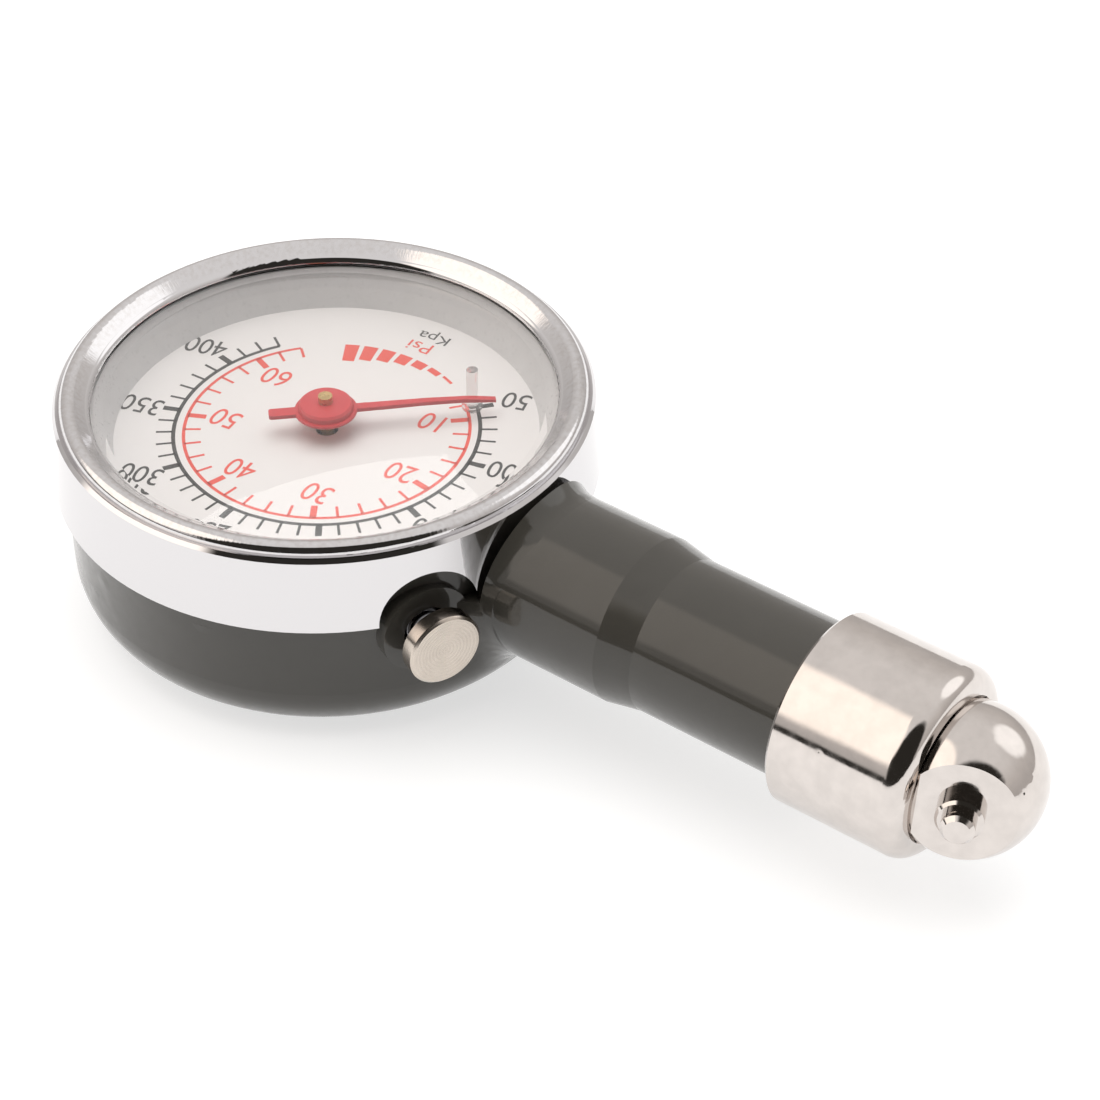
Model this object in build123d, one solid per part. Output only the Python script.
"""Dial tire pressure gauge: round cast case with a neck, chrome bezel, ball chuck and a Bourdon movement.

Frame: the origin is the centre of the case's flat back, +Z points out through the dial and +X runs
along the neck towards the ball chuck. Lengths are in millimetres and angles in degrees.
"""
from build123d import *
from math import atan2, cos, degrees, hypot, radians, sin, sqrt
import os

os.makedirs("parts", exist_ok=True)

# ---- levels above the flat back ----
floor_z = 2.2             # inside of the case's back wall
dial_z = 17.0             # printed face of the dial
dial_thick = 0.5
rim_z = 19.9              # top of the cast case
gasket_thick = 0.4
lens_edge_thick = 1.3
lens_low = rim_z + gasket_thick
lens_top = lens_low + lens_edge_thick
lens_rise = 2.2           # the lens bulges this much at its middle
skirt_z = 14.4            # lower edge of the bezel's skirt
crease_z = 22.1           # crease between the skirt and the bead
bead_z = 22.3             # centre of the bead's rounding
neck_z = 13.1             # centre line of the neck and of its air passage

# ---- radii about the dial's axis ----
case_r = 24.95            # side of the bowl
rim_r = 24.6              # turned seat that the bezel is pressed over
relief_r = 26.3           # the turned seat cuts the neck's root back to here
cavity_r = 21.6
pocket_r = 22.6           # the pocket above the dial's ledge
bowl_corner = 6.0
skirt_r = 26.0
crease_r = 24.85
bead_r = 23.93            # centre of the bead's rounding, whose own radius follows
bead_round = 0.9
lip_r = 21.93             # opening in the bezel
spacer_foot_r = 20.1      # where the spacer's sloping face meets the dial
lens_edge_r = 24.55
lens_dome_r = 21.7
notch_r = 4.8             # the bezel's skirt is cut away round the button
notch_turn = -28.8
stop_r = 14.1             # the pointer rests on this pin
stop_angle = 51.2
stop_pin_r = 0.55
stop_top_z = 21.3

# ---- neck and chuck, measured out from the dial's axis ----
neck_r = 8.1
neck_slim_r = 7.45
neck_step_x = 37.5        # the neck tapers from here to its slim part
neck_taper = 3.5
ferrule_x = 56.4
ferrule_r = 9.05
ferrule_end_x = 69.6
shoulder_r = 1.9
spigot_r = 6.6
spigot_end_x = 63.0
ball_x = 71.3             # centre of the ball
ball_r = 6.95
ball_back_x = 64.0
socket_r = 4.1            # takes a standard tyre valve's 7.7 mm thread
washer_r = 4.3
washer_hole_r = 1.6
washer_thick = 2.0        # the washer lies on the socket's floor, level with the ball's centre
flat_out = 4.87           # the ball is faced off flat round the nib, this far from its centre
nib_r = 2.1
nib_tip_r = 1.5
nib_root = 4.3            # the nib is pressed into the ball from here, out from its centre
nib_step = 6.2
nib_end = 7.6
nib_tilt = 66.7           # lean from the neck's axis
nib_turn = -6.1           # then turned about the neck's axis
socket_tilt = 65.0
socket_turn = 140.0
airway_r = 0.8
inlet_end_x = 24.0        # outer end of the brass tube that carries air into the block
valve_bore_r = 2.5
valve_bore_x = 46.0

# ---- release button, along its own level axis ----
button_turn = -21.0       # direction of the axis from +X
button_x = 21.85          # a point on the axis, at the case's wall
button_y = -12.36
button_z = 12.7
button_r = 3.6
button_thick = 1.75
button_face = 3.9         # the head's outer face, out from that point
button_travel = 1.5
boss_r = 4.4
boss_face = 0.35
well_r = 2.3
well_floor = -3.2
boss_inner = -5.4
stem_r = 0.9
stem_tip_r = 0.45
seat_face = -9.2          # the release valve seats here, inside the block
seat_hole_r = 0.6
valve_chamber = -14.5
running_gap = 0.05

# ---- movement ----
module = 0.2
pinion_teeth = 10
wheel_teeth = 92          # teeth that the sector would have as a full wheel
sector_turn = -125.0      # direction from the pointer's axis to the sector's pivot
mesh_slack = 0.04
pointer_sweep = 266.0
pointer_angle = 45.4      # direction of the pointer at rest, from +X
tail_len = 4.2            # the sector's tail, out to its pin
tail_angle = 160.0
link_len = 5.5
link_width = 2.0
link_hole_r = 0.68        # roomy, because the tube's end moves in a straight line and the link's in an arc
link_pin_r = 0.35
tail_pin_r = 0.4
back_plate_z = 5.2
front_plate_z = 13.2
plate_thick = 1.0
sector_z = 9.0
sector_thick = 0.9
pivot_r = 0.45            # ends of both arbors
pivot_hole_r = 0.5
tooth_root = 0.26         # a tooth goes this far inside the pitch circle
tooth_tip = 0.16          # and this far outside it
tube_r = 18.2             # mean radius of the Bourdon tube
tube_mid_z = 9.6
tube_start = 16.0
tube_stop = 214.0
tube_tall = 5.4
tube_wide = 1.9
tube_wall = 0.3

# ---- pointer ----
pointer_z = 19.0          # underside of the pointer's arm
pointer_thick = 0.4
pointer_len = 16.1
hub_r = 2.97
cap_r = 2.57
arbor_r = 0.68
arbor_top_z = 20.85

centre = (Align.CENTER, Align.CENTER, Align.MIN)


def rod(radius, low, high):
    """A round bar on the Z axis between two heights."""
    return Pos(0, 0, low) * Cylinder(radius, high - low, align=centre)


def ring(outer, inner, low, high):
    """A plain ring on the Z axis."""
    return rod(outer, low, high) - rod(inner, low - 1, high + 1)


def turned(*corners):
    """A body of revolution about Z from (radius, height) corners."""
    outline = Polyline(*[(r, 0, z) for r, z in corners], close=True)
    return revolve(make_face(outline), Axis.Z)


def on_neck(shape):
    """Stand a Z-axis part on the neck's axis, its heights becoming distances along +X."""
    return Pos(0, 0, neck_z) * (Rot(0, 90, 0) * shape)


def on_button(shape):
    """Stand a Z-axis part on the release button's axis, +Z pointing out of the case."""
    return Pos(button_x, button_y, button_z) * (Rot(0, 0, button_turn) * (Rot(0, 90, 0) * shape))


def on_ball(shape, tilt, turn):
    """Stand a Z-axis part at the ball's centre, leaning from the neck's axis and turned about it."""
    lean = Rot(0, 0, -tilt) * (Rot(0, 90, 0) * shape)
    return Pos(ball_x, 0, neck_z) * (Rot(turn, 0, 0) * lean)


def in_socket(shape):
    return on_ball(shape, socket_tilt, socket_turn)


def dome(radius, rise, base):
    """The slice of a ball that stands on a disc of this radius, as tall as the rise."""
    ball = (radius ** 2 + rise ** 2) / (2 * rise)
    return Pos(0, 0, base + rise - ball) * Sphere(ball) & rod(radius, base, base + rise)


def coil(radius, wire, low, high, turns):
    """A compression spring on the Z axis, its wire inside the two heights."""
    path = Helix((high - low - 2 * wire) / turns, high - low - 2 * wire, radius)
    start = Plane(origin=path @ 0, z_dir=path % 0)
    return Pos(0, 0, low + wire) * sweep(start * Circle(wire), path=path, is_frenet=True)


def screw(head_r, head_h, shank_r, length):
    """A slotted screw whose head sits on the XY plane, its shank pointing down."""
    body = fillet(rod(head_r, 0, head_h).edges().group_by(Axis.Z)[-1], head_h * 0.35)
    slot = Pos(0, 0, head_h) * Box(head_r * 3, head_r * 0.3, head_h * 0.9)
    return body + rod(shank_r, -length, 0.1) - slot


def around(angle, radius):
    """A point at an angle and radius about the dial's axis."""
    return radius * cos(radians(angle)), radius * sin(radians(angle))


# Pivots of the movement: the link pulls the sector's tail, and the sector turns the pinion.
pinion_r = module * pinion_teeth / 2
wheel_r = module * wheel_teeth / 2
sector_x, sector_y = around(sector_turn, pinion_r + wheel_r + mesh_slack)
ratio = pinion_teeth / wheel_teeth
sector_sweep = pointer_sweep * ratio
tail_x = sector_x + tail_len * cos(radians(tail_angle))
tail_y = sector_y + tail_len * sin(radians(tail_angle))
link_angle = tail_angle + 90
tip_x = tail_x + link_len * cos(radians(link_angle))
tip_y = tail_y + link_len * sin(radians(link_angle))
pillars = [(-9.6, -0.6), (1.2, -10.4)]
foot_screws = [(6.0, 2.8), (6.0, -2.8)]
block_screws = [(13.5, 3.6), (13.5, -2.6)]


# ---- case: one casting of bowl, neck and button boss ----
def make_case():
    case_top = rim_z + 4      # trimmed off again by the bezel's seat
    bowl_side = Line((case_r + 0.3, 0, case_top), (case_r, 0, bowl_corner))
    corner = TangentArc((case_r, 0, bowl_corner), (case_r - bowl_corner, 0, 0), tangent=(0, 0, -1))
    bottom = Polyline(
        (case_r - bowl_corner, 0, 0), (0, 0, 0), (0, 0, case_top), (case_r + 0.3, 0, case_top)
    )
    bowl = revolve(make_face(bowl_side + corner + bottom), Axis.Z)
    neck = on_neck(
        rod(neck_r, 10, neck_step_x)
        + Pos(0, 0, neck_step_x) * Cone(neck_r, neck_slim_r, neck_taper, align=centre)
        + rod(neck_slim_r, neck_step_x + neck_taper, ferrule_x)
    )
    blank = bowl + neck
    joint = [
        e for e in blank.edges()
        if e.geom_type not in (GeomType.LINE, GeomType.CIRCLE) and e.bounding_box().min.X > 15
    ]
    blank = fillet(joint, 3.6)
    seat = ring(relief_r, rim_r, skirt_z - 0.1, case_top + 5)
    blank = blank - seat - rod(relief_r, rim_z, case_top + 5)
    cavity = rod(cavity_r, floor_z, rim_z + 1)
    cavity = fillet(cavity.edges().group_by(Axis.Z)[0], 1.5)
    pocket = rod(pocket_r, dial_z - dial_thick, rim_z + 1)
    boss_in = on_button(rod(boss_r - 0.9, boss_inner, -2))
    boss_out = on_button(rod(boss_r, -6, boss_face))
    body = blank + boss_out - cavity - pocket + boss_in
    body -= on_button(rod(well_r, well_floor, boss_face + 3))
    body -= on_button(rod(stem_r + running_gap, boss_inner - 1, well_floor + 1))
    body += on_neck(rod(spigot_r, ferrule_x - 1, spigot_end_x))
    body -= on_neck(rod(airway_r, cavity_r - 2, spigot_end_x))
    body -= on_neck(rod(2.0, cavity_r - 2, inlet_end_x))
    body -= on_neck(rod(valve_bore_r, valve_bore_x, spigot_end_x + 1))
    for x, y in block_screws:
        body -= Pos(x, y, -1) * Cylinder(1.3, 5, align=centre)
        body -= Pos(x, y, 0) * Cone(2.6, 1.3, 1.3, align=centre)
    return body


# ---- front of the gauge ----
def make_bezel():
    """Pressed ring: a tall skirt, a crease, a rounded bead and a sloping face that turns down to the lens."""
    def on_bead(angle):
        return bead_r + bead_round * cos(radians(angle)), 0, bead_z + bead_round * sin(radians(angle))

    skirt = Polyline((skirt_r, 0, skirt_z), (25.5, 0, 21.9), (25.2, 0, 22.25), (crease_r, 0, crease_z))
    outer = ThreePointArc((crease_r, 0, crease_z), on_bead(40), on_bead(90))
    crown = ThreePointArc(on_bead(90), on_bead(110), on_bead(128.5))
    slope = Line(on_bead(128.5), (22.4, 0, 22.25))
    lip = ThreePointArc((22.4, 0, 22.25), (22.08, 0, 22.0), (lip_r, 0, 21.65))
    inside = Polyline(
        (lip_r, 0, 21.65), (24.72, 0, 21.65), (24.72, 0, 19.0), (25.5, 0, skirt_z), (skirt_r, 0, skirt_z)
    )
    shell = revolve(make_face(skirt + outer + crown + slope + lip + inside), Axis.Z)
    notch = Pos(20, 0, skirt_z) * (Rot(0, 90, 0) * Cylinder(notch_r, 10, align=centre))
    return shell - Rot(0, 0, notch_turn) * notch


def make_lens():
    """Clear crystal: a flat edge that the bezel clamps, and a low dome of even thickness."""
    disc = rod(lens_edge_r, lens_low, lens_top) + dome(lens_dome_r, lens_rise, lens_top)
    return disc - dome(lens_dome_r - 1.0, lens_rise, lens_low)


def make_spacer():
    top_r = lip_r + 0.25
    return turned(
        (spacer_foot_r, dial_z), (pocket_r - 0.1, dial_z), (pocket_r - 0.1, rim_z), (top_r, rim_z)
    )


def make_stop_pin():
    x, y = around(stop_angle, stop_r)
    pin = rod(stop_pin_r, dial_z - dial_thick - 0.4, stop_top_z) + rod(1.0, dial_z, dial_z + 0.35)
    return Pos(x, y, 0) * pin


def make_dial():
    plate = rod(pocket_r - 0.15, dial_z - dial_thick, dial_z) - rod(1.1, 0, 30)
    x, y = around(stop_angle, stop_r)
    return plate - Pos(x, y, 0) * rod(stop_pin_r, 0, 30)


# ---- pointer, with its hub pressed on the arbor ----
def make_pointer():
    """Pressed pointer: a stepped hub, a slim arm that bends down to the dial, and a square tail."""
    low, high = pointer_z, pointer_z + pointer_thick
    hub = turned(
        (arbor_r, low - 0.6), (1.3, low - 0.6), (1.3, low), (hub_r - 0.15, low), (hub_r, low + 0.15),
        (hub_r, high - 0.1), (hub_r - 0.1, high), (cap_r + 0.05, high), (cap_r, high + 0.45),
        (cap_r - 0.2, high + 0.65), (arbor_r, high + 0.75)
    )
    side = Polyline(
        (2, low), (9.5, low), (13, low - 0.12), (pointer_len, low - 0.45), (pointer_len, low - 0.15),
        (13, high - 0.12), (9.5, high), (2, high), close=True
    )
    plan = Polyline((2, -0.5), (pointer_len, -0.27), (pointer_len, 0.27), (2, 0.5), close=True)
    arm = extrude(make_face(Plane.XZ * side), 1, both=True) & extrude(make_face(plan), 25)
    arm = fillet(arm.edges().group_by(Axis.Z)[-1].filter_by(GeomType.LINE), 0.12)
    tail = Pos(-3.5, 0, low) * extrude(RectangleRounded(3.8, 1.2, 0.3), pointer_thick)
    return Rot(0, 0, pointer_angle) * (hub + arm + tail)


def gear_outline(teeth, count, first, root_r, tip_r):
    """Tooth corners of a small clock gear, count teeth starting at tooth number first."""
    pitch_angle = 360 / teeth
    corners = []
    for i in range(first, first + count):
        for share, r in ((-0.22, root_r), (-0.09, tip_r), (0.09, tip_r), (0.22, root_r)):
            corners.append(around((i + share) * pitch_angle, r))
    return corners


def make_pinion_arbor():
    corners = gear_outline(pinion_teeth, pinion_teeth, 0, pinion_r - tooth_root, pinion_r + tooth_tip)
    teeth = extrude(make_face(Polyline(*corners, close=True)), 2.4)
    plate_top = back_plate_z + plate_thick
    arbor = rod(pivot_r, back_plate_z + 0.15, plate_top + 0.6) + rod(arbor_r, plate_top + 0.4, arbor_top_z)
    return arbor + Pos(0, 0, sector_z - 0.7) * (Rot(0, 0, sector_turn) * teeth)


def make_sector():
    """Sector at rest, toothed along the arc that rolls past the pinion as the pointer climbs."""
    face_angle = degrees(atan2(-sector_y, -sector_x))
    pitch_angle = 360 / wheel_teeth
    count = int(sector_sweep / pitch_angle) + 4
    first = 2 - count
    root_r = wheel_r - tooth_root
    teeth = gear_outline(wheel_teeth, count, first, root_r, wheel_r + tooth_tip)
    teeth = [around(degrees(atan2(y, x)) + pitch_angle / 2, hypot(x, y)) for x, y in teeth]
    low = first * pitch_angle
    high = 2 * pitch_angle
    rim = [
        around(high, root_r - 1.3), around(10, 2.4), around(-30, 1.6), around(low - 6, 3.0),
        around(low, root_r - 1.3)
    ]
    blade = Rot(0, 0, face_angle) * make_face(Polyline(*teeth, *rim, close=True))
    window = Rot(0, 0, face_angle + (low + high) / 2) * (Pos(5.2, 0) * Circle(1.2))
    tail = Rot(0, 0, tail_angle) * (Pos(tail_len / 2, 0) * SlotOverall(tail_len + 2.2, 2.2))
    body = extrude(blade - window + tail + Circle(1.7), sector_thick)
    body = body - rod(0.7, -1, 3) - Pos(*around(tail_angle, tail_len)) * rod(tail_pin_r, -1, 3)
    return Pos(sector_x, sector_y, sector_z) * body


def make_sector_arbor():
    pivot = rod(pivot_r, back_plate_z + 0.15, front_plate_z + plate_thick - 0.15)
    middle = rod(0.7, back_plate_z + plate_thick + 0.1, front_plate_z - 0.1)
    return Pos(sector_x, sector_y, 0) * (pivot + middle)


def make_link():
    """Flat link that lies on the sector's tail and reaches the pin on the tube's end."""
    bar = Pos(link_len / 2, 0) * SlotOverall(link_len + link_width, link_width)
    flat = extrude(bar - Circle(tail_pin_r + running_gap) - Pos(link_len, 0) * Circle(link_hole_r), 0.5)
    return Pos(tail_x, tail_y, sector_z + sector_thick + 0.05) * (Rot(0, 0, link_angle) * flat)


def make_link_pin():
    pin = rod(tail_pin_r, sector_z - 0.3, sector_z + sector_thick + 0.85)
    return Pos(tail_x, tail_y, 0) * (pin + rod(0.75, sector_z - 0.6, sector_z - 0.05))


def make_hairspring():
    """Flat spiral between the arbor's collet and the stud, drawn as half turns that grow outwards."""
    strip, step, turns = 0.16, 0.42, 9
    low, high = front_plate_z - 1.7, front_plate_z - 1.1
    spiral = rod(1.0, low, high) - rod(arbor_r + running_gap, 0, 30)
    for i in range(turns):
        r = 0.95 + step * i / 2
        side = 1 if i % 2 == 0 else -1
        half = ring(r + strip / 2, r - strip / 2, low, high) & (Pos(0, 20 * side, 0) * Box(60, 40, 60))
        spiral += Pos(-side * step / 4 + step / 4, 0, 0) * half
    return spiral


def make_stud():
    x = -(0.95 + 0.42 * 4) - 0.55
    return Pos(x, 0.0, 0) * (rod(0.45, front_plate_z - 1.9, front_plate_z))


# ---- Bourdon tube ----
def tube_section(tall, wide):
    return Pos(tube_r, 0, tube_mid_z) * (Rot(90, 0, 0) * SlotOverall(tall, wide, rotation=90))


def make_tube():
    inner = tube_section(tube_tall - 2 * tube_wall, tube_wide - 2 * tube_wall)
    section = tube_section(tube_tall, tube_wide) - inner
    wall = revolve(section, Axis.Z, revolution_arc=tube_stop - tube_start)
    return Rot(0, 0, tube_start) * wall


def make_tube_end():
    """Soldered plug on the tube's free end, with an arm that reaches the link's pin."""
    turn = tube_stop + 3.45
    x, y = around(turn, tube_r)
    plug = Pos(x, y, tube_mid_z) * (Rot(0, 0, turn) * Box(2.6, 1.8, 6.0))
    reach = hypot(tip_x - x, tip_y - y)
    lean = degrees(atan2(tip_y - y, tip_x - x))
    arm = Pos(reach / 2, 0) * SlotOverall(reach + 2.4, 2.4)
    arm = Pos(x, y, sector_z - 0.9) * (Rot(0, 0, lean) * extrude(arm, 0.9))
    pin = Pos(tip_x, tip_y, 0) * rod(link_pin_r, sector_z - 0.9, sector_z + sector_thick + 0.85)
    return plug + arm + pin


def make_block():
    """Brass socket block: takes the air from the neck, holds the tube, the movement and the release valve."""
    tower = Pos(14.0, 0.2, floor_z) * Box(10.0, 11.4, 13.4, align=centre)
    foot = Pos(6.5, 0, floor_z) * Box(9, 10, back_plate_z - floor_z, align=centre)
    lug = on_button(rod(2.7, -16.5, -8.2))
    block = tower + foot + lug
    block -= on_neck(rod(2.0, 17.5, 30)) + on_neck(rod(0.8, 11, 20))
    block -= Rot(0, 0, 4) * revolve(tube_section(tube_tall, tube_wide), Axis.Z, revolution_arc=40)
    block -= on_button(rod(1.5, valve_chamber, seat_face)) + on_button(rod(seat_hole_r, -10, -7))
    block -= on_button(rod(0.5, -20, -14)) & Pos(10, -4, button_z) * Box(12, 6, 8)
    for x, y in foot_screws:
        block -= Pos(x, y, 0) * rod(0.8, back_plate_z - 2.6, 20)
    for x, y in block_screws:
        block -= Pos(x, y, 0) * rod(1.25, 0, floor_z + 4)
    return block


# ---- movement frame ----
def plate(points, low):
    spots = Sketch() + [Pos(x, y) * Circle(r) for x, y, r in points]
    outline = make_hull(spots.edges())
    return Pos(0, 0, low) * extrude(outline, plate_thick)


def bearing(x, y, radius=pivot_hole_r):
    return Pos(x, y, 0) * rod(radius, -1, 30)


corners = [(0, 0, 2.6), (sector_x, sector_y, 2.2)] + [(x, y, 1.9) for x, y in pillars]


def make_back_plate():
    reach = [(x, y, 1.9) for x, y in foot_screws]
    body = plate(corners + reach, back_plate_z) - bearing(0, 0) - bearing(sector_x, sector_y)
    for x, y in foot_screws:
        body -= bearing(x, y, 0.85)
    for x, y in pillars:
        body -= bearing(x, y, 0.7)
    return body


def make_front_plate():
    body = plate(corners, front_plate_z) - bearing(0, 0, arbor_r + running_gap) - bearing(sector_x, sector_y)
    for x, y in pillars:
        body -= bearing(x, y, 0.85)
    return body


def make_pillar(x, y):
    low = back_plate_z + plate_thick
    body = rod(1.5, low, front_plate_z) + rod(0.7, back_plate_z, low)
    return Pos(x, y, 0) * (body - rod(0.8, front_plate_z - 3, front_plate_z + 1))


def group(shapes):
    return Compound(children=list(shapes))


movement_screws = group(
    [Pos(x, y, front_plate_z + plate_thick) * screw(1.5, 0.9, 0.8, 3.6) for x, y in pillars]
    + [Pos(x, y, back_plate_z + plate_thick) * screw(1.5, 0.9, 0.8, 3.2) for x, y in foot_screws]
)


def make_block_screw(x, y):
    """Countersunk screw through the case's back, its head flush with the back."""
    head = Cone(2.5, 1.25, 1.25, align=centre) + rod(1.2, 1, floor_z + 3.6)
    slot = Box(6, 0.7, 1.2)
    return Pos(x, y, 0.05) * (head - slot)


# ---- release button ----
def make_button():
    low = button_face - button_thick
    head = rod(button_r, low, button_face)
    head = chamfer(head.edges().group_by(Axis.Z)[-1], 0.25)
    head = chamfer(head.edges().group_by(Axis.Z)[0], 0.15)
    dimple = Pos(0, 0, button_face - 0.12) * Cone(0.1, 3.0, 0.121, align=centre)
    stem = rod(stem_r, boss_inner - 1.2, low + 0.1) - ring(2, 0.6, boss_inner - 0.45, boss_inner - 0.05)
    tip = rod(stem_tip_r, seat_face + 0.2, boss_inner - 1)
    return on_button(head - dimple + stem + tip)


def make_stem_clip():
    """Open spring washer in the stem's groove, which keeps the button in the case."""
    clip = ring(1.9, 0.62, boss_inner - 0.4, boss_inner - 0.1)
    mouth = Pos(0, 2, boss_inner) * Box(0.9, 4, 3)
    return on_button(clip - mouth)


def make_release_poppet():
    """Ball-ended valve that the stem lifts off its seat inside the block."""
    poppet_r = 1.25
    ball_height = seat_face - sqrt(poppet_r ** 2 - seat_hole_r ** 2) - 0.02
    return on_button(Pos(0, 0, ball_height) * Sphere(poppet_r) + rod(0.5, seat_face - 3.4, ball_height))


# ---- non-return valve in the neck ----
def make_valve_seat():
    body = rod(valve_bore_r, 60.6, spigot_end_x) - rod(0.9, 50, 70)
    slot = Pos(0, 0, spigot_end_x) * Box(6, 0.7, 1.2)
    return on_neck(body - slot)


def make_valve_poppet():
    head = rod(2.2, 58.6, 60.0)
    for angle in range(0, 360, 90):
        head -= Rot(0, 0, angle) * (Pos(2.2, 0, 58) * Cylinder(0.5, 3, align=centre))
    return on_neck(head + rod(0.8, 51.0, 59))


def make_valve_rubber():
    return on_neck(rod(1.9, 60.0, 60.55))


# ---- ferrule and ball chuck ----
def make_ferrule():
    side = Polyline(
        (spigot_r, 0, ferrule_x), (ferrule_r - 0.3, 0, ferrule_x), (ferrule_r, 0, ferrule_x + 0.3)
    )
    wall = Line((ferrule_r, 0, ferrule_x + 0.3), (ferrule_r, 0, ferrule_end_x - shoulder_r))
    nose = TangentArc(
        (ferrule_r, 0, ferrule_end_x - shoulder_r), (ferrule_r - shoulder_r, 0, ferrule_end_x),
        tangent=(0, 0, 1)
    )
    bore = Polyline(
        (ferrule_r - shoulder_r, 0, ferrule_end_x), (spigot_r + 0.35, 0, ferrule_end_x),
        (spigot_r, 0, ferrule_end_x - 0.5), (spigot_r, 0, ferrule_x)
    )
    return on_neck(revolve(make_face(side + wall + nose + bore), Axis.Z))


def make_ball():
    face_x = ferrule_end_x + 0.1
    sphere = Pos(ball_x, 0, neck_z) * Sphere(ball_r) - on_neck(rod(ball_r + 1, ball_back_x - 2, face_x))
    sphere -= on_ball(rod(ball_r, flat_out, ball_r + 2), nib_tilt, nib_turn)
    ball = sphere + on_neck(rod(spigot_r, ball_back_x, face_x))
    ball -= in_socket(rod(washer_r, 0, washer_thick) + rod(socket_r, 0, 10) + rod(0.8, -2.6, 1))
    ball -= on_neck(rod(airway_r, ball_back_x - 1, ball_x - 0.6))
    ball -= on_ball(rod(nib_r, nib_root, 10), nib_tilt, nib_turn)
    return ball


def make_chuck_washer():
    """Rubber washer on the socket's floor, sealing on the end of the tyre valve."""
    return in_socket(ring(washer_r, washer_hole_r, 0, washer_thick))


def make_depressor():
    """Pin that opens the tyre valve's core, pressed into the socket's floor."""
    pin = rod(0.8, -2.6, 0) + rod(0.55, 0, washer_thick - 0.05)
    return in_socket(fillet(pin.edges().group_by(Axis.Z)[-1], 0.2))


def make_nib():
    """Stepped pin on the ball's flat, for letting air out of a tyre."""
    nib = turned(
        (0, nib_root), (nib_r, nib_root), (nib_r, nib_step - 0.25), (nib_r - 0.25, nib_step),
        (nib_tip_r, nib_step), (nib_tip_r, nib_end - 0.4), (nib_tip_r - 0.35, nib_end), (0, nib_end)
    )
    return on_ball(nib, nib_tilt, nib_turn)


nodes = {
    "case": make_case(),
    "bezel_ring": make_bezel(),
    "lens": make_lens(),
    "lens_gasket": ring(24.5, pocket_r + 0.1, rim_z, lens_low),
    "spacer_ring": make_spacer(),
    "stop_pin": make_stop_pin(),
    "dial_plate": make_dial(),
    "pointer": make_pointer(),
    "pinion_arbor": make_pinion_arbor(),
    "hairspring": make_hairspring(),
    "hairspring_stud": make_stud(),
    "sector_gear": make_sector(),
    "sector_arbor": make_sector_arbor(),
    "link": make_link(),
    "link_pin": make_link_pin(),
    "bourdon_tube": make_tube(),
    "tube_end": make_tube_end(),
    "socket_block": make_block(),
    "movement_back_plate": make_back_plate(),
    "movement_front_plate": make_front_plate(),
    "movement_pillars": group([make_pillar(x, y) for x, y in pillars]),
    "movement_screws": movement_screws,
    "block_screws": group([make_block_screw(x, y) for x, y in block_screws]),
    "inlet_tube": on_neck(ring(1.6, airway_r, 17.6, inlet_end_x)),
    "inlet_seal": on_neck(ring(2.0, 1.6, inlet_end_x - 1.2, inlet_end_x)),
    "release_button": make_button(),
    "stem_clip": make_stem_clip(),
    "button_spring": on_button(coil(1.6, 0.25, well_floor, button_face - button_thick, 5)),
    "release_poppet": make_release_poppet(),
    "release_spring": on_button(coil(1.0, 0.15, valve_chamber, seat_face - 2.0, 4)),
    "check_valve_seat": make_valve_seat(),
    "check_valve_poppet": make_valve_poppet(),
    "check_valve_rubber": make_valve_rubber(),
    "check_valve_spring": on_neck(coil(1.7, 0.2, valve_bore_x, 58.6, 8)),
    "ferrule": make_ferrule(),
    "ball_chuck": make_ball(),
    "ferrule_seal": on_neck(ring(spigot_r - 0.1, 2.6, spigot_end_x, ball_back_x)),
    "chuck_washer": make_chuck_washer(),
    "core_depressor": make_depressor(),
    "bleed_nib": make_nib(),
}

for name, shape in nodes.items():
    export_step(shape, f"parts/{name}.step")
print(f"{len(nodes)} nodes, sector at ({sector_x:.3f}, {sector_y:.3f})")
print(f"tail pin at ({tail_x:.3f}, {tail_y:.3f})")
print(f"tip pin at ({tip_x:.3f}, {tip_y:.3f}), sector sweep {sector_sweep:.3f} degrees")
